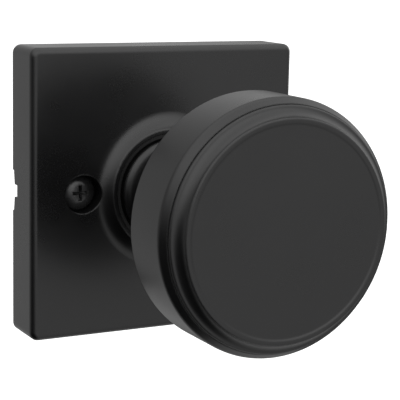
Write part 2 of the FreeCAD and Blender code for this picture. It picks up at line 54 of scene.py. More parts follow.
def addCamera():
    turn = math.radians(cameraView["azimuth"])
    tilt = math.radians(cameraView["elevation"])
    roll = math.radians(cameraView["roll"])
    back = Vector((math.sin(turn) * math.cos(tilt), -math.cos(turn) * math.cos(tilt), math.sin(tilt)))
    level = Vector((math.cos(turn), math.sin(turn), 0))
    rise = back.cross(level)
    right = level * math.cos(roll) + rise * math.sin(roll)
    up = rise * math.cos(roll) - level * math.sin(roll)
    lens = bpy.data.cameras.new("viewCamera")
    lens.lens = cameraView["lens"]
    lens.sensor_width = 36
    lens.clip_start = 0.01
    camera = bpy.data.objects.new("viewCamera", lens)
    bpy.context.scene.collection.objects.link(camera)
    placing = Matrix((right, up, back)).transposed().to_4x4()
    placing.translation = Vector(cameraView["place"])
    camera.matrix_world = placing
    bpy.context.scene.camera = camera


# A node with its properties set, and its inputs set by name.
def addNode(tree, kind, inputs=None, **settings):
    node = tree.nodes.new(kind)
    for setting, value in settings.items():
        setattr(node, setting, value)
    for socket, value in (inputs or {}).items():
        node.inputs[socket].default_value = value
    return node


def join(tree, source, target):
    tree.links.new(source, target)


# Soft lights round the room, each one a broad glow, and two dark sides. Each has the way it lies,
# the cosines at which it starts and is full, and how much light it adds or takes away.
room = {
    "base": 0.48,
    "glows": {
        "ceiling": ((-0.10, -0.45, 0.90), 0.25, 0.80, 1.15),
        "front": ((0, -1, 0), 0.30, 0.95, 0.42),
        "rightWindow": ((0.93, 0.10, 0.35), 0.80, 0.98, 0.80),
        "highBehind": ((0.46, 0.87, 0.35), 0.85, 0.98, 0.15),
        "lowRight": ((0.46, 0.18, -0.87), 0.80, 0.97, 0.25),
    },
    "shades": {
        "leftCorner": ((-0.66, -0.33, -0.68), 0.54, 0.86, 0.98),
        "doorway": ((0.70, 0.66, -0.28), 0.85, 0.94, 0.93),
    },
    "backdrop": 1.0,
    "floorLevel": -0.16,
    "floorHalf": 6.0,
    "floorTone": 0.85,
    "floorRough": 0.9,
    "floorGlow": 0.25,
}


def addGlow(tree, way, low, high, amount, ray):
    toward = addNode(tree, "ShaderNodeVectorMath", operation="DOT_PRODUCT")
    toward.inputs[1].default_value = Vector(way).normalized()
    glow = addNode(tree, "ShaderNodeMapRange", {"From Min": low, "From Max": high, "To Max": amount},
                   interpolation_type="SMOOTHSTEP")
    join(tree, ray, toward.inputs[0])
    join(tree, toward.outputs["Value"], glow.inputs["Value"])
    return glow.outputs["Result"]


def lightRoom():
    world = bpy.data.worlds.new("room")
    bpy.context.scene.world = world
    world.use_nodes = True
    tree = world.node_tree
    ray = addNode(tree, "ShaderNodeTexCoord").outputs["Generated"]
    total = addNode(tree, "ShaderNodeValue").outputs[0]
    total.default_value = room["base"]
    for way, low, high, amount in room["glows"].values():
        added = addNode(tree, "ShaderNodeMath", operation="ADD")
        join(tree, total, added.inputs[0])
        join(tree, addGlow(tree, way, low, high, amount, ray), added.inputs[1])
        total = added.outputs[0]
    for way, low, high, depth in room["shades"].values():
        left = addNode(tree, "ShaderNodeMath", {0: 1.0}, operation="SUBTRACT")
        shaded = addNode(tree, "ShaderNodeMath", operation="MULTIPLY")
        join(tree, addGlow(tree, way, low, high, depth, ray), left.inputs[1])
        join(tree, total, shaded.inputs[0])
        join(tree, left.outputs[0], shaded.inputs[1])
        total = shaded.outputs[0]
    seen = addNode(tree, "ShaderNodeLightPath").outputs["Is Camera Ray"]
    choice = addNode(tree, "ShaderNodeMix", {"B": room["backdrop"]}, data_type="FLOAT")
    join(tree, seen, choice.inputs["Factor"])
    join(tree, total, choice.inputs["A"])
    join(tree, choice.outputs["Result"], tree.nodes["Background"].inputs["Color"])


def addFloor():
    half, level = room["floorHalf"], room["floorLevel"]
    mesh = bpy.data.meshes.new("floor")
    corners = [(-half, -half, level), (half, -half, level), (half, half, level), (-half, half, level)]
    mesh.from_pydata(corners, [], [(0, 1, 2, 3)])
    floor = bpy.data.objects.new("floor", mesh)
    bpy.context.scene.collection.objects.link(floor)
    paint = bpy.data.materials.new("paleFloor")
    paint.use_nodes = True
    shader = paint.node_tree.nodes["Principled BSDF"]
    tone = room["floorTone"]
    shader.inputs["Base Color"].default_value = (tone, tone, tone, 1)
    shader.inputs["Roughness"].default_value = room["floorRough"]
    shader.inputs["Specular IOR Level"].default_value = 0.0
    shader.inputs["Emission Color"].default_value = (1, 1, 1, 1)
    shader.inputs["Emission Strength"].default_value = room["floorGlow"]
    mesh.materials.append(paint)
    floor.visible_glossy = False  # the room's own lower half is what the metal mirrors
    floor.visible_diffuse = False


addCamera()
lightRoom()
addFloor()
bpy.context.scene.view_settings.view_transform = "Standard"
bpy.context.scene.cycles.use_denoising = True
print("camera, floor and light placed")


# A shader group with its sockets: inputs are (name, default), outputs and directions are names.
def newEffect(name, inputs, outputs, directions=()):
    tree = bpy.data.node_groups.new(name, "ShaderNodeTree")
    for socket, value in inputs:
        made = tree.interface.new_socket(socket, in_out="INPUT", socket_type="NodeSocketFloat")
        made.default_value = value
    for socket in outputs:
        tree.interface.new_socket(socket, in_out="OUTPUT", socket_type="NodeSocketFloat")
    for socket in directions:
        tree.interface.new_socket(socket, in_out="OUTPUT", socket_type="NodeSocketVector")
    given = addNode(tree, "NodeGroupInput")
    result = addNode(tree, "NodeGroupOutput")
    return tree, given.outputs, result.inputs


def objectPlace(tree):
    return addNode(tree, "ShaderNodeTexCoord").outputs["Object"]


def combine(tree, operation, first, second, clamped=False):
    made = addNode(tree, "ShaderNodeMath", operation=operation, use_clamp=clamped)
    for socket, value in zip(made.inputs, (first, second)):
        if isinstance(value, (int, float)):
            socket.default_value = value
        else:
            join(tree, value, socket)
    return made.outputs[0]


def noiseAt(tree, place, scale, detail, roughness=0.5):
    noise = addNode(tree, "ShaderNodeTexNoise", {"Detail": detail, "Roughness": roughness})
    join(tree, place, noise.inputs["Vector"])
    if isinstance(scale, (int, float)):
        noise.inputs["Scale"].default_value = scale
    else:
        join(tree, scale, noise.inputs["Scale"])
    return noise.outputs["Fac"]


# How far through its noise each effect starts and is full.
effectSpans = {
    "speck": (0.58, 0.72), "corner": (0.995, 0.90), "patches": (0.40, 0.62), "patchScale": 320.0,
    "drift": (0.30, 0.70),
}


def spanned(tree, source, name):
    start, full = effectSpans[name]
    span = addNode(tree, "ShaderNodeMapRange", {"From Min": start, "From Max": full})
    join(tree, source, span.inputs["Value"])
    return span.outputs["Result"]


# Sprayed and baked powder: a fine pebble over a slow orange-peel swell.
def powderGrain():
    tree, given, result = newEffect(
        "powderGrain", [("Pebble Scale", 3500.0), ("Swell Scale", 500.0), ("Swell", 0.5)],
        ["Height", "Speck"])
    place = objectPlace(tree)
    pebble = noiseAt(tree, place, given["Pebble Scale"], 2.0, 0.6)
    swell = noiseAt(tree, place, given["Swell Scale"], 1.0)
    join(tree, combine(tree, "ADD", pebble, combine(tree, "MULTIPLY", swell, given["Swell"])),
         result["Height"])
    join(tree, spanned(tree, pebble, "speck"), result["Speck"])
    return tree


# Where handling has polished the corners, and on the black coat also a painted highlight along sharp rims,
# broken up so that it never reads as a drawn line.
def rubbedEdge():
    tree, given, result = newEffect(
        "rubbedEdge", [("Width", 0.0006), ("Amount", 1.0)], ["Mask"], directions=["Rounded"])
    rounded = addNode(tree, "ShaderNodeBevel", samples=4)
    flat = addNode(tree, "ShaderNodeNewGeometry")
    match = addNode(tree, "ShaderNodeVectorMath", operation="DOT_PRODUCT")
    join(tree, given["Width"], rounded.inputs["Radius"])
    join(tree, rounded.outputs["Normal"], match.inputs[0])
    join(tree, rounded.outputs["Normal"], result["Rounded"])
    join(tree, flat.outputs["Normal"], match.inputs[1])
    corner = spanned(tree, match.outputs["Value"], "corner")
    mottle = noiseAt(tree, objectPlace(tree), effectSpans["patchScale"], 4.0, 0.65)
    worn = combine(tree, "MULTIPLY", corner, spanned(tree, mottle, "patches"))
    join(tree, combine(tree, "MULTIPLY", worn, given["Amount"], True), result["Mask"])
    return tree


# Slow unevenness from hands, spray and storage.
def slowDrift():
    tree, given, result = newEffect("slowDrift", [("Scale", 60.0)], ["Drift"])
    slow = noiseAt(tree, objectPlace(tree), given["Scale"], 3.0, 0.6)
    join(tree, spanned(tree, slow, "drift"), result["Drift"])
    return tree


# Tool marks that run round the knob's axis.
def turnedLines():
    tree, given, result = newEffect("turnedLines", [("Lines", 4000.0)], ["Height"])
    parts = addNode(tree, "ShaderNodeSeparateXYZ")
    join(tree, objectPlace(tree), parts.inputs[0])
    flat = addNode(tree, "ShaderNodeCombineXYZ")
    join(tree, parts.outputs["X"], flat.inputs["X"])
    join(tree, parts.outputs["Z"], flat.inputs["Z"])
    radius = addNode(tree, "ShaderNodeVectorMath", operation="LENGTH")
    join(tree, flat.outputs[0], radius.inputs[0])
    ring = addNode(tree, "ShaderNodeCombineXYZ")
    join(tree, combine(tree, "MULTIPLY", radius.outputs["Value"], given["Lines"]), ring.inputs["X"])
    join(tree, combine(tree, "MULTIPLY", parts.outputs["Y"], given["Lines"]), ring.inputs["Y"])
    join(tree, noiseAt(tree, ring.outputs[0], 1.0, 2.0), result["Height"])
    return tree


# Marks drawn out along Y, as on rolled sheet and cold-drawn bar.
def drawnLines():
    tree, given, result = newEffect("drawnLines", [("Lines", 2500.0), ("Stretch", 0.03)], ["Height"])
    parts = addNode(tree, "ShaderNodeSeparateXYZ")
    join(tree, objectPlace(tree), parts.inputs[0])
    pulled = addNode(tree, "ShaderNodeCombineXYZ")
    join(tree, parts.outputs["X"], pulled.inputs["X"])
    join(tree, combine(tree, "MULTIPLY", parts.outputs["Y"], given["Stretch"]), pulled.inputs["Y"])
    join(tree, parts.outputs["Z"], pulled.inputs["Z"])
    join(tree, noiseAt(tree, pulled.outputs[0], given["Lines"], 3.0), result["Height"])
    return tree


# The crystal facets of zinc plate.
def zincSpangle():
    tree, given, result = newEffect("zincSpangle", [("Scale", 700.0)], ["Tone", "Height"])
    facets = addNode(tree, "ShaderNodeTexVoronoi", feature="F1")
    join(tree, objectPlace(tree), facets.inputs["Vector"])
    join(tree, given["Scale"], facets.inputs["Scale"])
    tone = addNode(tree, "ShaderNodeSeparateColor")
    join(tree, facets.outputs["Color"], tone.inputs[0])
    join(tree, tone.outputs["Red"], result["Tone"])
    join(tree, facets.outputs["Distance"], result["Height"])
    return tree


effects = {
    "powder": powderGrain(),
    "edge": rubbedEdge(),
    "drift": slowDrift(),
    "turned": turnedLines(),
    "drawn": drawnLines(),
    "spangle": zincSpangle(),
}


def startMaterial(name):
    material = bpy.data.materials.new(name)
    material.use_nodes = True
    return material, material.node_tree, material.node_tree.nodes["Principled BSDF"].inputs


def placeEffect(tree, name, values=None):
    node = addNode(tree, "ShaderNodeGroup", node_tree=effects[name])
    for socket, value in (values or {}).items():
        node.inputs[socket].default_value = value
    return node.outputs


def blendColour(tree, mask, low, high):
    mix = addNode(tree, "ShaderNodeMix", data_type="RGBA")
    join(tree, mask, mix.inputs["Factor"])
    for socket, value in ((mix.inputs[6], low), (mix.inputs[7], high)):
        if isinstance(value, tuple):
            socket.default_value = (*value, 1)
        else:
            join(tree, value, socket)
    return mix.outputs[2]


def ranged(tree, source, low, high):
    span = addNode(tree, "ShaderNodeMapRange", {"To Min": low, "To Max": high})
    join(tree, source, span.inputs["Value"])
    return span.outputs["Result"]


def addBump(tree, shader, height, distance, rounded=None):
    bump = addNode(tree, "ShaderNodeBump", {"Strength": 1.0, "Distance": distance})
    join(tree, height, bump.inputs["Height"])
    if rounded:
        join(tree, rounded, bump.inputs["Normal"])
    join(tree, bump.outputs["Normal"], shader["Normal"])


# The baked black finish; sizes differ between the cast rose and the turned knob.
def blackPowder(name, finish):
    material, tree, shader = startMaterial(name)
    grain = placeEffect(tree, "powder", {"Pebble Scale": finish["pebble"], "Swell Scale": finish["swell"]})
    drift = placeEffect(tree, "drift", {"Scale": finish["driftScale"]})["Drift"]
    worn = placeEffect(tree, "edge", {"Width": finish["edgeWidth"], "Amount": finish["edgeAmount"]})
    edge = worn["Mask"]
    coat = blendColour(tree, drift, finish["black"], finish["dusty"])
    specks = combine(tree, "MULTIPLY", grain["Speck"], finish["specks"])
    coat = blendColour(tree, specks, coat, finish["speckTone"])
    # Edges lightened towards rubbed: partly wear, partly a painted highlight along the rims.
    join(tree, blendColour(tree, edge, coat, finish["rubbed"]), shader["Base Color"])
    rough = ranged(tree, drift, finish["smooth"], finish["rough"])
    rough = combine(tree, "ADD", rough, combine(tree, "MULTIPLY", grain["Speck"], finish["speckRough"]))
    join(tree, combine(tree, "SUBTRACT", rough, combine(tree, "MULTIPLY", edge, finish["edgeShine"])),
         shader["Roughness"])
    height = grain["Height"]
    if finish["lines"]:
        marks = placeEffect(tree, "turned", {"Lines": finish["lines"]})["Height"]
        height = combine(tree, "ADD", height, combine(tree, "MULTIPLY", marks, finish["lineDepth"]))
    addBump(tree, shader, height, finish["depth"], worn["Rounded"])
    return material


# rubbed is the lighter edge tone of the black coat: partly wear, partly a painted highlight along the rims.
roseFinish = {
    "black": (0.0032, 0.0032, 0.0034), "dusty": (0.0050, 0.0050, 0.0052),
    "speckTone": (0.014, 0.014, 0.015), "rubbed": (0.022, 0.022, 0.023),
    "pebble": 3200.0, "swell": 420.0, "driftScale": 45.0, "specks": 0.30,
    "smooth": 0.26, "rough": 0.31, "speckRough": 0.05, "edgeWidth": 0.0005, "edgeAmount": 0.5,
    "edgeShine": 0.05, "depth": 0.000006, "lines": 0.0, "lineDepth": 0.0,
}
knobFinish = {**roseFinish, "pebble": 3800.0, "swell": 520.0, "lines": 2600.0, "lineDepth": 0.35}


def roseBlack():
    return blackPowder("roseBlack", roseFinish)


def knobBlack():
    return blackPowder("knobBlack", knobFinish)


screwFinish = {
    "black": (0.014, 0.014, 0.014), "dusty": (0.028, 0.028, 0.029), "rubbed": (0.060, 0.058, 0.056),
    "driftScale": 260.0, "edgeWidth": 0.00025, "edgeAmount": 0.8, "pebble": 6000.0,
    "smooth": 0.22, "rough": 0.30, "depth": 0.000004,
}


# Black-oxide screws: a thinner, slicker black, worn bright on the recess corners.
def screwBlack():
    finish = screwFinish
    material, tree, shader = startMaterial("screwBlack")
    drift = placeEffect(tree, "drift", {"Scale": finish["driftScale"]})["Drift"]
    edge = placeEffect(tree, "edge", {"Width": finish["edgeWidth"], "Amount": finish["edgeAmount"]})["Mask"]
    coat = blendColour(tree, drift, finish["black"], finish["dusty"])
    join(tree, blendColour(tree, edge, coat, finish["rubbed"]), shader["Base Color"])
    join(tree, ranged(tree, drift, finish["smooth"], finish["rough"]), shader["Roughness"])
    grain = placeEffect(tree, "powder", {"Pebble Scale": finish["pebble"]})
    addBump(tree, shader, grain["Height"], finish["depth"])
    return material


nylonFinish = {
    "black": (0.003, 0.003, 0.003), "pale": (0.006, 0.006, 0.006), "driftScale": 180.0,
    "pebble": 5200.0, "swell": 0.2, "smooth": 0.55, "rough": 0.68, "depth": 0.000008,
}


def bushingNylon():
    finish = nylonFinish
    material, tree, shader = startMaterial("bushingNylon")
    grain = placeEffect(tree, "powder", {"Pebble Scale": finish["pebble"], "Swell": finish["swell"]})
    drift = placeEffect(tree, "drift", {"Scale": finish["driftScale"]})["Drift"]
    join(tree, blendColour(tree, drift, finish["black"], finish["pale"]), shader["Base Color"])
    join(tree, ranged(tree, grain["Speck"], finish["smooth"], finish["rough"]), shader["Roughness"])
    addBump(tree, shader, grain["Height"], finish["depth"])
    return material


# Bright plate over steel sheet, with rolling marks, facets and corners rubbed to a duller grey.
def platedSteel(name, finish):
    material, tree, shader = startMaterial(name)
    spangle = placeEffect(tree, "spangle", {"Scale": finish["facets"]})
    drift = placeEffect(tree, "drift", {"Scale": finish["driftScale"]})["Drift"]
    lines = placeEffect(tree, finish["marks"], {"Lines": finish["lines"]})["Height"]
    edge = placeEffect(tree, "edge", {"Width": finish["edgeWidth"], "Amount": finish["edgeAmount"]})["Mask"]
    tone = blendColour(tree, spangle["Tone"], finish["light"], finish["deep"])
    tone = blendColour(tree, combine(tree, "MULTIPLY", drift, finish["tinting"]), tone, finish["tint"])
    join(tree, blendColour(tree, edge, tone, finish["worn"]), shader["Base Color"])
    shader["Metallic"].default_value = 1.0
    rough = combine(tree, "ADD", ranged(tree, drift, finish["smooth"], finish["rough"]),
                    combine(tree, "MULTIPLY", lines, finish["lineRough"]))
    join(tree, rough, shader["Roughness"])
    height = combine(tree, "ADD", lines, combine(tree, "MULTIPLY", spangle["Height"], finish["facetDepth"]))
    addBump(tree, shader, height, finish["depth"])
    return material


plateFinish = {
    "light": (0.66, 0.66, 0.63), "deep": (0.54, 0.54, 0.52), "tint": (0.60, 0.57, 0.44),
    "worn": (0.42, 0.42, 0.42), "tinting": 0.5, "driftScale": 90.0, "edgeWidth": 0.0003,
    "edgeAmount": 0.9, "lineRough": 0.10, "facets": 700.0, "facetDepth": 0.3, "marks": "drawn",
    "lines": 2400.0,
    "smooth": 0.24, "rough": 0.38, "depth": 0.000006,
}


def zincPlatedSteel():
    return platedSteel("zincPlatedSteel", plateFinish)


def cageSteel():
    return platedSteel("cageSteel", {**plateFinish, "light": (0.60, 0.60, 0.58), "deep": (0.52, 0.52, 0.51),
                                     "tint": (0.50, 0.50, 0.50), "marks": "turned", "lines": 3000.0})


def rivetSteel():
    return platedSteel("rivetSteel", {**plateFinish, "light": (0.56, 0.56, 0.55), "deep": (0.48, 0.48, 0.48),
                                      "tint": (0.44, 0.43, 0.41), "smooth": 0.32, "rough": 0.45})


def hardenedSteel():
    return platedSteel("hardenedSteel", {**plateFinish, "light": (0.42, 0.42, 0.43), "deep": (0.34, 0.34, 0.36),
                                         "tint": (0.32, 0.28, 0.25), "smooth": 0.34, "rough": 0.46})


shankFinish = {
    **plateFinish, "light": (0.58, 0.58, 0.56), "deep": (0.55, 0.55, 0.54), "tint": (0.50, 0.49, 0.46),
    "marks": "turned", "lines": 5200.0, "facetDepth": 0.05, "smooth": 0.20, "rough": 0.30,
    # black here is painted shade on the journal in the gap between hub and neck.
    "shadeFrom": 0.0130, "black": (0.004, 0.004, 0.004),
}


# Bright in the bushing, and from its mouth forward a near-black painted shade on the journal where it stands in
# the dark gap between hub and neck.
def shankSteel():
    material = platedSteel("shankSteel", shankFinish)
    tree = material.node_tree
    shader = tree.nodes["Principled BSDF"].inputs
    parts = addNode(tree, "ShaderNodeSeparateXYZ")
    join(tree, objectPlace(tree), parts.inputs[0])
    # Painted shade: the journal forward of the bushing's mouth is made near-black and not metallic.
    paintedShade = combine(tree, "LESS_THAN", parts.outputs["Y"], -shankFinish["shadeFrom"])
    steel = shader["Base Color"].links[0].from_socket
    join(tree, blendColour(tree, paintedShade, steel, shankFinish["black"]), shader["Base Color"])
    join(tree, combine(tree, "SUBTRACT", 1.0, paintedShade), shader["Metallic"])
    return material


def spindleSteel():
    return platedSteel("spindleSteel", {**plateFinish, "light": (0.60, 0.60, 0.57), "deep": (0.55, 0.55, 0.53),
                                        "tint": (0.58, 0.54, 0.42), "facetDepth": 0.1, "lines": 4200.0})


wireFinish = {
    "blue": (0.17, 0.18, 0.22), "brown": (0.27, 0.24, 0.20), "rubbed": (0.42, 0.41, 0.40),
    "driftScale": 220.0, "edgeWidth": 0.0002, "edgeAmount": 0.7, "lines": 5000.0, "stretch": 0.4,
    "smooth": 0.26, "rough": 0.42, "depth": 0.000004,
}


# Oil-tempered wire: dark, with a blue-brown temper bloom.
def springSteel():
    finish = wireFinish
    material, tree, shader = startMaterial("springSteel")
    drift = placeEffect(tree, "drift", {"Scale": finish["driftScale"]})["Drift"]
    edge = placeEffect(tree, "edge", {"Width": finish["edgeWidth"], "Amount": finish["edgeAmount"]})["Mask"]
    bloom = blendColour(tree, drift, finish["blue"], finish["brown"])
    join(tree, blendColour(tree, edge, bloom, finish["rubbed"]), shader["Base Color"])
    shader["Metallic"].default_value = 1.0
    join(tree, ranged(tree, drift, finish["smooth"], finish["rough"]), shader["Roughness"])
    marks = placeEffect(tree, "drawn", {"Lines": finish["lines"], "Stretch": finish["stretch"]})
    addBump(tree, shader, marks["Height"], finish["depth"])
    return material


castFinish = {
    "dark": (0.40, 0.41, 0.42), "light": (0.50, 0.50, 0.50), "pits": (0.30, 0.30, 0.31),
    "rubbed": (0.60, 0.60, 0.60), "driftScale": 110.0, "edgeWidth": 0.0004, "edgeAmount": 0.8,
    "pebble": 1500.0, "swellScale": 260.0, "swell": 0.8, "smooth": 0.42, "rough": 0.58,
    "depth": 0.000030,
}


# Die-cast zinc as it leaves the mould: dull grey, softly pitted.
def castZinc():
    finish = castFinish
    material, tree, shader = startMaterial("castZinc")
    grain = placeEffect(tree, "powder", {"Pebble Scale": finish["pebble"], "Swell": finish["swell"],
                                         "Swell Scale": finish["swellScale"]})
    drift = placeEffect(tree, "drift", {"Scale": finish["driftScale"]})["Drift"]
    edge = placeEffect(tree, "edge", {"Width": finish["edgeWidth"], "Amount": finish["edgeAmount"]})["Mask"]
    skin = blendColour(tree, drift, finish["dark"], finish["light"])
    skin = blendColour(tree, grain["Speck"], skin, finish["pits"])
    join(tree, blendColour(tree, edge, skin, finish["rubbed"]), shader["Base Color"])
    shader["Metallic"].default_value = 1.0
    join(tree, ranged(tree, drift, finish["smooth"], finish["rough"]), shader["Roughness"])
    addBump(tree, shader, grain["Height"], finish["depth"])
    return material


finishes = {
    "rose_black": roseBlack(),
    "knob_black": knobBlack(),
    "screw_black": screwBlack(),
    "bushing_nylon": bushingNylon(),
    "zinc_plated_steel": zincPlatedSteel(),
    "cage_steel": cageSteel(),
    "rivet_steel": rivetSteel(),
    "spring_steel": springSteel(),
    "hardened_steel": hardenedSteel(),
    "shank_steel": shankSteel(),
    "cast_zinc": castZinc(),
    "spindle_steel": spindleSteel(),
}


def paintFrame():
    for subpart in frame["record"]["subparts"]:
        for place in frame["nodes"][subpart["node"]].material_slots:
            place.material = finishes[subpart["material_slot"]]


paintFrame()
print("finishes made:", len(finishes))


# Turning a profile about the knob's axis. The profile mesh holds (radius, out from the door) and
# each corner's rounding; the tree rounds it, sweeps it round a circle and lays it along -Y.
def turningTree():
    tree = bpy.data.node_groups.new("turnedShell", "GeometryNodeTree")
    sockets = {}
    for name, kind, value in (("Profile", "Geometry", None), ("Segments", "Int", 192),
                              ("Rounding Steps", "Int", 6), ("Ring", "Float", 0.05),
                              ("Crease Angle", "Float", math.radians(26)), ("Finish", "Material", None)):
        made = tree.interface.new_socket(name, in_out="INPUT", socket_type="NodeSocket" + kind)
        if value is not None:
            made.default_value = value
        sockets[name] = made.identifier
    tree.interface.new_socket("Shell", in_out="OUTPUT", socket_type="NodeSocketGeometry")
    given = addNode(tree, "NodeGroupInput").outputs
    result = addNode(tree, "NodeGroupOutput").inputs
    curve = addNode(tree, "GeometryNodeMeshToCurve")
    rounding = addNode(tree, "GeometryNodeInputNamedAttribute", {"Name": "rounding"}, data_type="FLOAT")
    fillet = addNode(tree, "GeometryNodeFilletCurve", {"Limit Radius": True}, mode="POLY")
    inward = addNode(tree, "ShaderNodeCombineXYZ")
    shift = addNode(tree, "GeometryNodeTransform")
    circle = addNode(tree, "GeometryNodeCurvePrimitiveCircle")
    sweep = addNode(tree, "GeometryNodeCurveToMesh")
    lay = addNode(tree, "GeometryNodeTransform", {"Rotation": (-math.pi / 2, 0, 0)})
    merge = addNode(tree, "GeometryNodeMergeByDistance", {"Distance": 0.000002})
    smooth = addNode(tree, "GeometryNodeSetShadeSmooth", {"Shade Smooth": True})
    angle = addNode(tree, "GeometryNodeInputMeshEdgeAngle")
    creased = addNode(tree, "FunctionNodeCompare", operation="GREATER_THAN", data_type="FLOAT")
    crease = addNode(tree, "GeometryNodeSetShadeSmooth", {"Shade Smooth": False}, domain="EDGE")
    realize = addNode(tree, "GeometryNodeRealizeInstances")
    coat = addNode(tree, "GeometryNodeSetMaterial")
    join(tree, given["Profile"], curve.inputs["Mesh"])
    join(tree, curve.outputs[0], fillet.inputs["Curve"])
    join(tree, given["Rounding Steps"], fillet.inputs["Count"])
    join(tree, rounding.outputs["Attribute"], fillet.inputs["Radius"])
    join(tree, combine(tree, "MULTIPLY", given["Ring"], -1.0), inward.inputs["X"])
    join(tree, fillet.outputs[0], shift.inputs["Geometry"])
    join(tree, inward.outputs[0], shift.inputs["Translation"])
    join(tree, given["Segments"], circle.inputs["Resolution"])
    join(tree, given["Ring"], circle.inputs["Radius"])
    join(tree, circle.outputs[0], sweep.inputs["Curve"])
    join(tree, shift.outputs[0], sweep.inputs["Profile Curve"])
    join(tree, sweep.outputs[0], lay.inputs["Geometry"])
    join(tree, lay.outputs[0], merge.inputs["Geometry"])
    join(tree, merge.outputs[0], smooth.inputs["Geometry"])
    join(tree, smooth.outputs[0], crease.inputs["Geometry"])
    join(tree, angle.outputs["Unsigned Angle"], creased.inputs["A"])
    join(tree, given["Crease Angle"], creased.inputs["B"])
    join(tree, creased.outputs[0], crease.inputs["Selection"])
    join(tree, crease.outputs[0], realize.inputs[0])
    join(tree, realize.outputs[0], coat.inputs["Geometry"])
    join(tree, given["Finish"], coat.inputs["Material"])
    join(tree, coat.outputs[0], result["Shell"])
    return tree, sockets


turning, turningSockets = turningTree()


def newObject(name, mesh):
    piece = bpy.data.objects.new(name, mesh)
    bpy.context.scene.collection.objects.link(piece)
    return piece


# Swaps an object's modifiers for the plain mesh that they make.
def plainMesh(piece):
    view = bpy.context.evaluated_depsgraph_get()
    mesh = bpy.data.meshes.new_from_object(piece.evaluated_get(view))
    piece.modifiers.clear()
    raw = piece.data
    piece.data = mesh
    bpy.data.meshes.remove(raw)
    mesh.name = piece.name
    return mesh


# The same, with every face turned outwards.
def settle(piece):
    mesh = plainMesh(piece)
    shape = bmesh.new()
    shape.from_mesh(mesh)
    bmesh.ops.recalc_face_normals(shape, faces=shape.faces)
    shape.to_mesh(mesh)
    shape.free()


# Makes large faces keep their own direction beside small roundings.
def steadyNormals(piece):
    weighted = piece.modifiers.new("steady", "WEIGHTED_NORMAL")
    weighted.keep_sharp = True
    plainMesh(piece)


# Points along the arc from start to finish that bends left (turn 1) or right (turn -1).
def arc(start, finish, radius, turn, steps):
    first, last = Vector(start[:2]), Vector(finish[:2])
    chord = last - first
    left = Vector((-chord.y, chord.x)).normalized()
    centre = (first + last) / 2 + left * turn * math.sqrt(radius ** 2 - (chord.length / 2) ** 2)
    low = math.atan2(first.y - centre.y, first.x - centre.x)
    sweep = 2 * math.asin(chord.length / 2 / radius) * turn
    return [(centre.x + radius * math.cos(low + sweep * step / steps),
             centre.y + radius * math.sin(low + sweep * step / steps), 0.0) for step in range(1, steps)]


# corners are (radius, out, rounding) in millimetres, in order round the section.
def turnedPiece(name, corners, finish, closed=True, segments=192):
    mesh = bpy.data.meshes.new(name)
    count = len(corners)
    edges = [(index, index + 1) for index in range(count - 1)] + ([(count - 1, 0)] if closed else [])
    mesh.from_pydata([(radius * mm, out * mm, 0) for radius, out, rounding in corners], edges, [])
    rounding = mesh.attributes.new("rounding", "FLOAT", "POINT")
    for index, corner in enumerate(corners):
        rounding.data[index].value = corner[2] * mm
    piece = newObject(name, mesh)
    turned = piece.modifiers.new("turned", "NODES")
    turned.node_group = turning
    turned[turningSockets["Segments"]] = segments
    turned[turningSockets["Finish"]] = finish
    settle(piece)
    steadyNormals(piece)
    return piece


drum = {
    "radius": 27.05, "bore": 25.6, "rear": 50.3, "wallEnd": 62.85, "front": 64.35, "lipRadius": 25.75,
    "edge": 1.4, "rearEdge": 0.3,
}


def drumBand():
    corners = [
        (drum["bore"], drum["rear"], 0.15),
        (drum["radius"], drum["rear"], drum["rearEdge"]),
        (drum["radius"], drum["wallEnd"], drum["edge"]),
        (drum["lipRadius"], drum["front"], 0.08),
        (drum["bore"], drum["front"], 0.01),
    ]
    return turnedPiece("drum_band", corners, finishes["knob_black"])


cap = {
    "skirt": 25.59, "skirtRear": 57.4, "thick": 1.2, "beadTop": 65.1, "bead": 0.42, "coveRim": 25.15,
    "coveFoot": 23.3, "coveTop": 66.9, "coveRound": 2.6, "rimTop": 67.35, "rim": 0.35,
    "dishOuter": 22.25, "dishInner": 21.85, "face": 67.17, "faceThick": 1.3,
}


def frontCap():
    rimmed = (cap["coveRim"], cap["beadTop"], 0.0)
    footed = (cap["coveFoot"], cap["coveTop"], 0.0)
    under = cap["face"] - cap["faceThick"]
    corners = [
        (0.0, under, 0.0),
        (cap["dishInner"], under, 0.3),
        (cap["skirt"] - cap["thick"], under - cap["faceThick"], 0.3),
        (cap["skirt"] - cap["thick"], cap["skirtRear"], 0.1),
        (cap["skirt"], cap["skirtRear"], 0.1),
        (cap["skirt"], cap["beadTop"], cap["bead"]),
        rimmed, *arc(rimmed, footed, cap["coveRound"], -1, 8), footed,
        (cap["coveFoot"], cap["rimTop"], cap["rim"]),
        (cap["dishOuter"], cap["rimTop"], 0.25),
        (cap["dishInner"], cap["face"], 0.25),
        (0.0, cap["face"], 0.0),
    ]
    return turnedPiece("front_cap", corners, finishes["knob_black"], closed=False)


neck = {
    "rear": 15.3, "waist": 10.9, "waistRound": 3.0, "waistRear": 17.84, "waistFront": 19.0,
    "flareRound": 41.5, "thick": 1.2, "skirt": 25.5, "skirtEnd": 55.5,
}


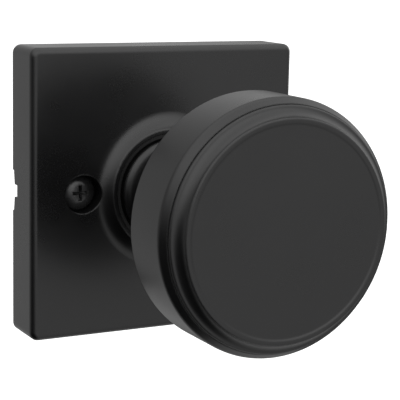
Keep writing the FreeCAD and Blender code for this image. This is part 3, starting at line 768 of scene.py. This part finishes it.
def flaredNeck():
    def lipAt(bend):
        reach = neck["waistRear"] - neck["rear"]
        return neck["waist"] + neck["waistRound"] - math.sqrt(bend ** 2 - reach ** 2)

    def flareEnd(bend, reach):
        return neck["waistFront"] + math.sqrt(bend ** 2 - (neck["waist"] + neck["flareRound"] - reach) ** 2)

    inner = neck["waist"] - neck["thick"]
    skirtInner = neck["skirt"] - neck["thick"]
    innerWaist = neck["waistRound"] + neck["thick"]
    innerFlare = neck["flareRound"] + neck["thick"]
    lip = (lipAt(neck["waistRound"]), neck["rear"], 0.0)
    waistRear = (neck["waist"], neck["waistRear"], 0.0)
    waistFront = (neck["waist"], neck["waistFront"], 0.0)
    brim = (neck["skirt"], flareEnd(neck["flareRound"], neck["skirt"]), 0.0)
    brimInner = (skirtInner, flareEnd(innerFlare, skirtInner), 0.0)
    boreFront = (inner, neck["waistFront"], 0.0)
    boreRear = (inner, neck["waistRear"], 0.0)
    lipInner = (lipAt(innerWaist), neck["rear"], 0.0)
    corners = [
        lipInner, lip,
        *arc(lip, waistRear, neck["waistRound"], -1, 14), waistRear, waistFront,
        *arc(waistFront, brim, neck["flareRound"], -1, 36), brim,
        (neck["skirt"], neck["skirtEnd"], 0.1),
        (skirtInner, neck["skirtEnd"], 0.1),
        brimInner, *arc(brimInner, boreFront, innerFlare, 1, 24), boreFront, boreRear,
        *arc(boreRear, lipInner, innerWaist, 1, 8),
    ]
    return turnedPiece("flared_neck", corners, finishes["knob_black"])


for piece, node in ((drumBand(), "knob_drum"), (frontCap(), "knob_face"), (flaredNeck(), "knob_back")):
    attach(piece, "knob")
    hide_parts(node)
print("knob shells turned")


rivet = {
    "across": 16.0, "apart": 43.0, "shaft": 1.4, "head": 2.4, "seat": 2.0, "tall": 0.9,
    "dimple": 0.75, "dimpleDeep": 0.35, "crown": 0.45,
}


# One rivet on the knob's axis, its tail spread in a dimpled dome.
def rivetBlank():
    top = rivet["seat"] + rivet["tall"]
    corners = [
        (0.0, 0.0, 0.0),
        (rivet["shaft"], 0.0, 0.1),
        (rivet["shaft"], rivet["seat"], 0.0),
        (rivet["head"], rivet["seat"], 0.12),
        (rivet["head"] * rivet["crown"], top, 0.5),
        (rivet["dimple"], top, 0.1),
        (0.0, top - rivet["dimpleDeep"], 0.0),
    ]
    return turnedPiece("rivet_blank", corners, finishes["rivet_steel"], closed=False, segments=48)


# Sets one copy of a blank on every point.
def rivetTree():
    tree = bpy.data.node_groups.new("rivetSet", "GeometryNodeTree")
    sockets = {}
    for name, kind in (("Places", "Geometry"), ("Blank", "Object"), ("Finish", "Material")):
        sockets[name] = tree.interface.new_socket(
            name, in_out="INPUT", socket_type="NodeSocket" + kind).identifier
    tree.interface.new_socket("Rivets", in_out="OUTPUT", socket_type="NodeSocketGeometry")
    given = addNode(tree, "NodeGroupInput").outputs
    result = addNode(tree, "NodeGroupOutput").inputs
    blank = addNode(tree, "GeometryNodeObjectInfo")
    setOut = addNode(tree, "GeometryNodeInstanceOnPoints")
    realize = addNode(tree, "GeometryNodeRealizeInstances")
    coat = addNode(tree, "GeometryNodeSetMaterial")
    join(tree, given["Blank"], blank.inputs["Object"])
    join(tree, given["Places"], setOut.inputs["Points"])
    join(tree, blank.outputs["Geometry"], setOut.inputs["Instance"])
    join(tree, setOut.outputs[0], realize.inputs[0])
    join(tree, realize.outputs[0], coat.inputs["Geometry"])
    join(tree, given["Finish"], coat.inputs["Material"])
    join(tree, coat.outputs[0], result["Rivets"])
    return tree, sockets


def headedRivets():
    blank = rivetBlank()
    mesh = bpy.data.meshes.new("headed_rivets")
    mesh.from_pydata([(side * rivet["across"] / 2 * mm, 0, level * rivet["apart"] / 2 * mm)
                      for side in (-1, 1) for level in (-1, 1)], [], [])
    piece = newObject("headed_rivets", mesh)
    tree, sockets = rivetTree()
    setting = piece.modifiers.new("rivets", "NODES")
    setting.node_group = tree
    setting[sockets["Blank"]] = blank
    setting[sockets["Finish"]] = finishes["rivet_steel"]
    settle(piece)
    steadyNormals(piece)
    bpy.data.objects.remove(blank)
    return piece


rivets = headedRivets()
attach(rivets, "rose")
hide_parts("cage_rivets")
print("rivets headed")


screw = {
    "apart": 41.7, "seat": 7.8, "head": 4.05, "headEdge": 1.0, "headTall": 2.5, "headRound": 6.2,
    "body": 1.85, "core": 1.66, "thread": 2.08, "pitch": 0.794, "ridge": 0.44, "reach": 25.0, "point": 0.9,
    "recessArm": 2.05, "recessWide": 0.86, "recessDeep": 1.75, "recessTaper": 0.62,
    "pointTaper": 0.45, "punchRise": 0.3, "threadShort": 1.6, "threadStart": 0.5, "crease": 30,
}


# One screw's shaft and domed head, without its thread or recess, on the knob's axis.
def screwBlank():
    top = screw["seat"] + screw["headTall"]
    shoulder = (screw["head"], screw["seat"] + screw["headEdge"], 0.0)
    crown = (0.0, top, 0.0)
    corners = [
        (0.0, -screw["reach"], 0.0),
        (screw["core"] - screw["pointTaper"], -screw["reach"], 0.0),
        (screw["core"], screw["point"] - screw["reach"], 0.0),
        (screw["core"], 0.0, 0.0),
        (screw["body"], 0.0, 0.0),
        (screw["body"], screw["seat"], 0.0),
        (screw["head"], screw["seat"], 0.15),
        shoulder, *arc(shoulder, crown, screw["headRound"], 1, 14), crown,
    ]
    return turnedPiece("screw_blank", corners, finishes["screw_black"], closed=False, segments=64)


# The cross punch, wide at the head's top and narrower at its foot.
def screwPunch():
    arm, half = screw["recessArm"], screw["recessWide"] / 2
    outline = [(-arm, -half), (-half, -half), (-half, -arm), (half, -arm), (half, -half), (arm, -half),
               (arm, half), (half, half), (half, arm), (-half, arm), (-half, half), (-arm, half)]
    top = screw["seat"] + screw["headTall"] + screw["punchRise"]
    foot = screw["seat"] + screw["headTall"] - screw["recessDeep"]
    points = [(x * mm, -top * mm, z * mm) for x, z in outline]
    points += [(x * screw["recessTaper"] * mm, -foot * mm, z * screw["recessTaper"] * mm) for x, z in outline]
    count = len(outline)
    faces = [tuple(range(count)), tuple(reversed(range(count, 2 * count)))]
    for index in range(count):
        after = (index + 1) % count
        faces.append((index, index + count, after + count, after))
    mesh = bpy.data.meshes.new("screwPunch")
    mesh.from_pydata(points, [], faces)
    shape = bmesh.new()
    shape.from_mesh(mesh)
    bmesh.ops.recalc_face_normals(shape, faces=shape.faces)
    shape.to_mesh(mesh)
    shape.free()
    return newObject("screwPunch", mesh)


# Punches the recess, winds the thread and sets one screw on every point.
def screwTree():
    tree = bpy.data.node_groups.new("screwSet", "GeometryNodeTree")
    sockets = {}
    for name, kind, value in (("Places", "Geometry", None), ("Blank", "Object", None),
                              ("Punch", "Object", None), ("Thread Radius", "Float", 0.00208),
                              ("Ridge", "Float", 0.00044),
                              ("Thread Length", "Float", 0.0235), ("Pitch", "Float", 0.000794),
                              ("Finish", "Material", None)):
        made = tree.interface.new_socket(name, in_out="INPUT", socket_type="NodeSocket" + kind)
        if value is not None:
            made.default_value = value
        sockets[name] = made.identifier
    tree.interface.new_socket("Screws", in_out="OUTPUT", socket_type="NodeSocketGeometry")
    given = addNode(tree, "NodeGroupInput").outputs
    result = addNode(tree, "NodeGroupOutput").inputs
    blank = addNode(tree, "GeometryNodeObjectInfo")
    punch = addNode(tree, "GeometryNodeObjectInfo")
    cut = addNode(tree, "GeometryNodeMeshBoolean", operation="DIFFERENCE", solver="EXACT")
    helix = addNode(tree, "GeometryNodeCurveSpiral", {"Resolution": 28})
    upright = addNode(tree, "GeometryNodeSetCurveNormal", mode="Z_UP")
    ridge = addNode(tree, "GeometryNodeCurvePrimitiveCircle", {"Resolution": 3})
    wind = addNode(tree, "GeometryNodeCurveToMesh", {"Fill Caps": True})
    lay = addNode(tree, "GeometryNodeTransform", {"Rotation": (-math.pi / 2, 0, 0)})
    whole = addNode(tree, "GeometryNodeJoinGeometry")
    setOut = addNode(tree, "GeometryNodeInstanceOnPoints")
    realize = addNode(tree, "GeometryNodeRealizeInstances")
    coat = addNode(tree, "GeometryNodeSetMaterial")
    join(tree, given["Blank"], blank.inputs["Object"])
    join(tree, given["Punch"], punch.inputs["Object"])
    join(tree, blank.outputs["Geometry"], cut.inputs["Mesh 1"])
    join(tree, punch.outputs["Geometry"], cut.inputs["Mesh 2"])
    wound = combine(tree, "SUBTRACT", given["Thread Radius"], given["Ridge"])
    join(tree, wound, helix.inputs["Start Radius"])
    join(tree, wound, helix.inputs["End Radius"])
    join(tree, given["Thread Length"], helix.inputs["Height"])
    join(tree, combine(tree, "DIVIDE", given["Thread Length"], given["Pitch"]), helix.inputs["Rotations"])
    join(tree, given["Ridge"], ridge.inputs["Radius"])
    join(tree, helix.outputs[0], upright.inputs["Curve"])
    join(tree, upright.outputs[0], wind.inputs["Curve"])
    join(tree, ridge.outputs[0], wind.inputs["Profile Curve"])
    join(tree, wind.outputs[0], lay.inputs["Geometry"])
    lay.inputs["Translation"].default_value = (0, screw["threadStart"] * mm, 0)
    join(tree, lay.outputs[0], whole.inputs[0])
    join(tree, cut.outputs["Mesh"], whole.inputs[0])
    join(tree, given["Places"], setOut.inputs["Points"])
    join(tree, whole.outputs[0], setOut.inputs["Instance"])
    join(tree, setOut.outputs[0], realize.inputs[0])
    join(tree, realize.outputs[0], coat.inputs["Geometry"])
    join(tree, given["Finish"], coat.inputs["Material"])
    join(tree, coat.outputs[0], result["Screws"])
    return tree, sockets


def domedScrews():
    blank, punch = screwBlank(), screwPunch()
    mesh = bpy.data.meshes.new("domed_screws")
    mesh.from_pydata([(side * screw["apart"] / 2 * mm, 0, 0) for side in (-1, 1)], [], [])
    piece = newObject("domed_screws", mesh)
    tree, sockets = screwTree()
    setting = piece.modifiers.new("screws", "NODES")
    setting.node_group = tree
    for name, value in (("Blank", blank), ("Punch", punch), ("Thread Radius", screw["thread"] * mm),
                        ("Ridge", screw["ridge"] * mm),
                        ("Thread Length", (screw["reach"] - screw["threadShort"]) * mm),
                        ("Pitch", screw["pitch"] * mm), ("Finish", finishes["screw_black"])):
        setting[sockets[name]] = value
    settle(piece)
    piece.data.set_sharp_from_angle(angle=math.radians(screw["crease"]))
    steadyNormals(piece)
    for spare in (blank, punch):
        bpy.data.objects.remove(spare)
    return piece


screws = domedScrews()
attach(screws, "rose")
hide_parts("mounting_screws")
print("screws cut:", len(screws.data.polygons), "faces")
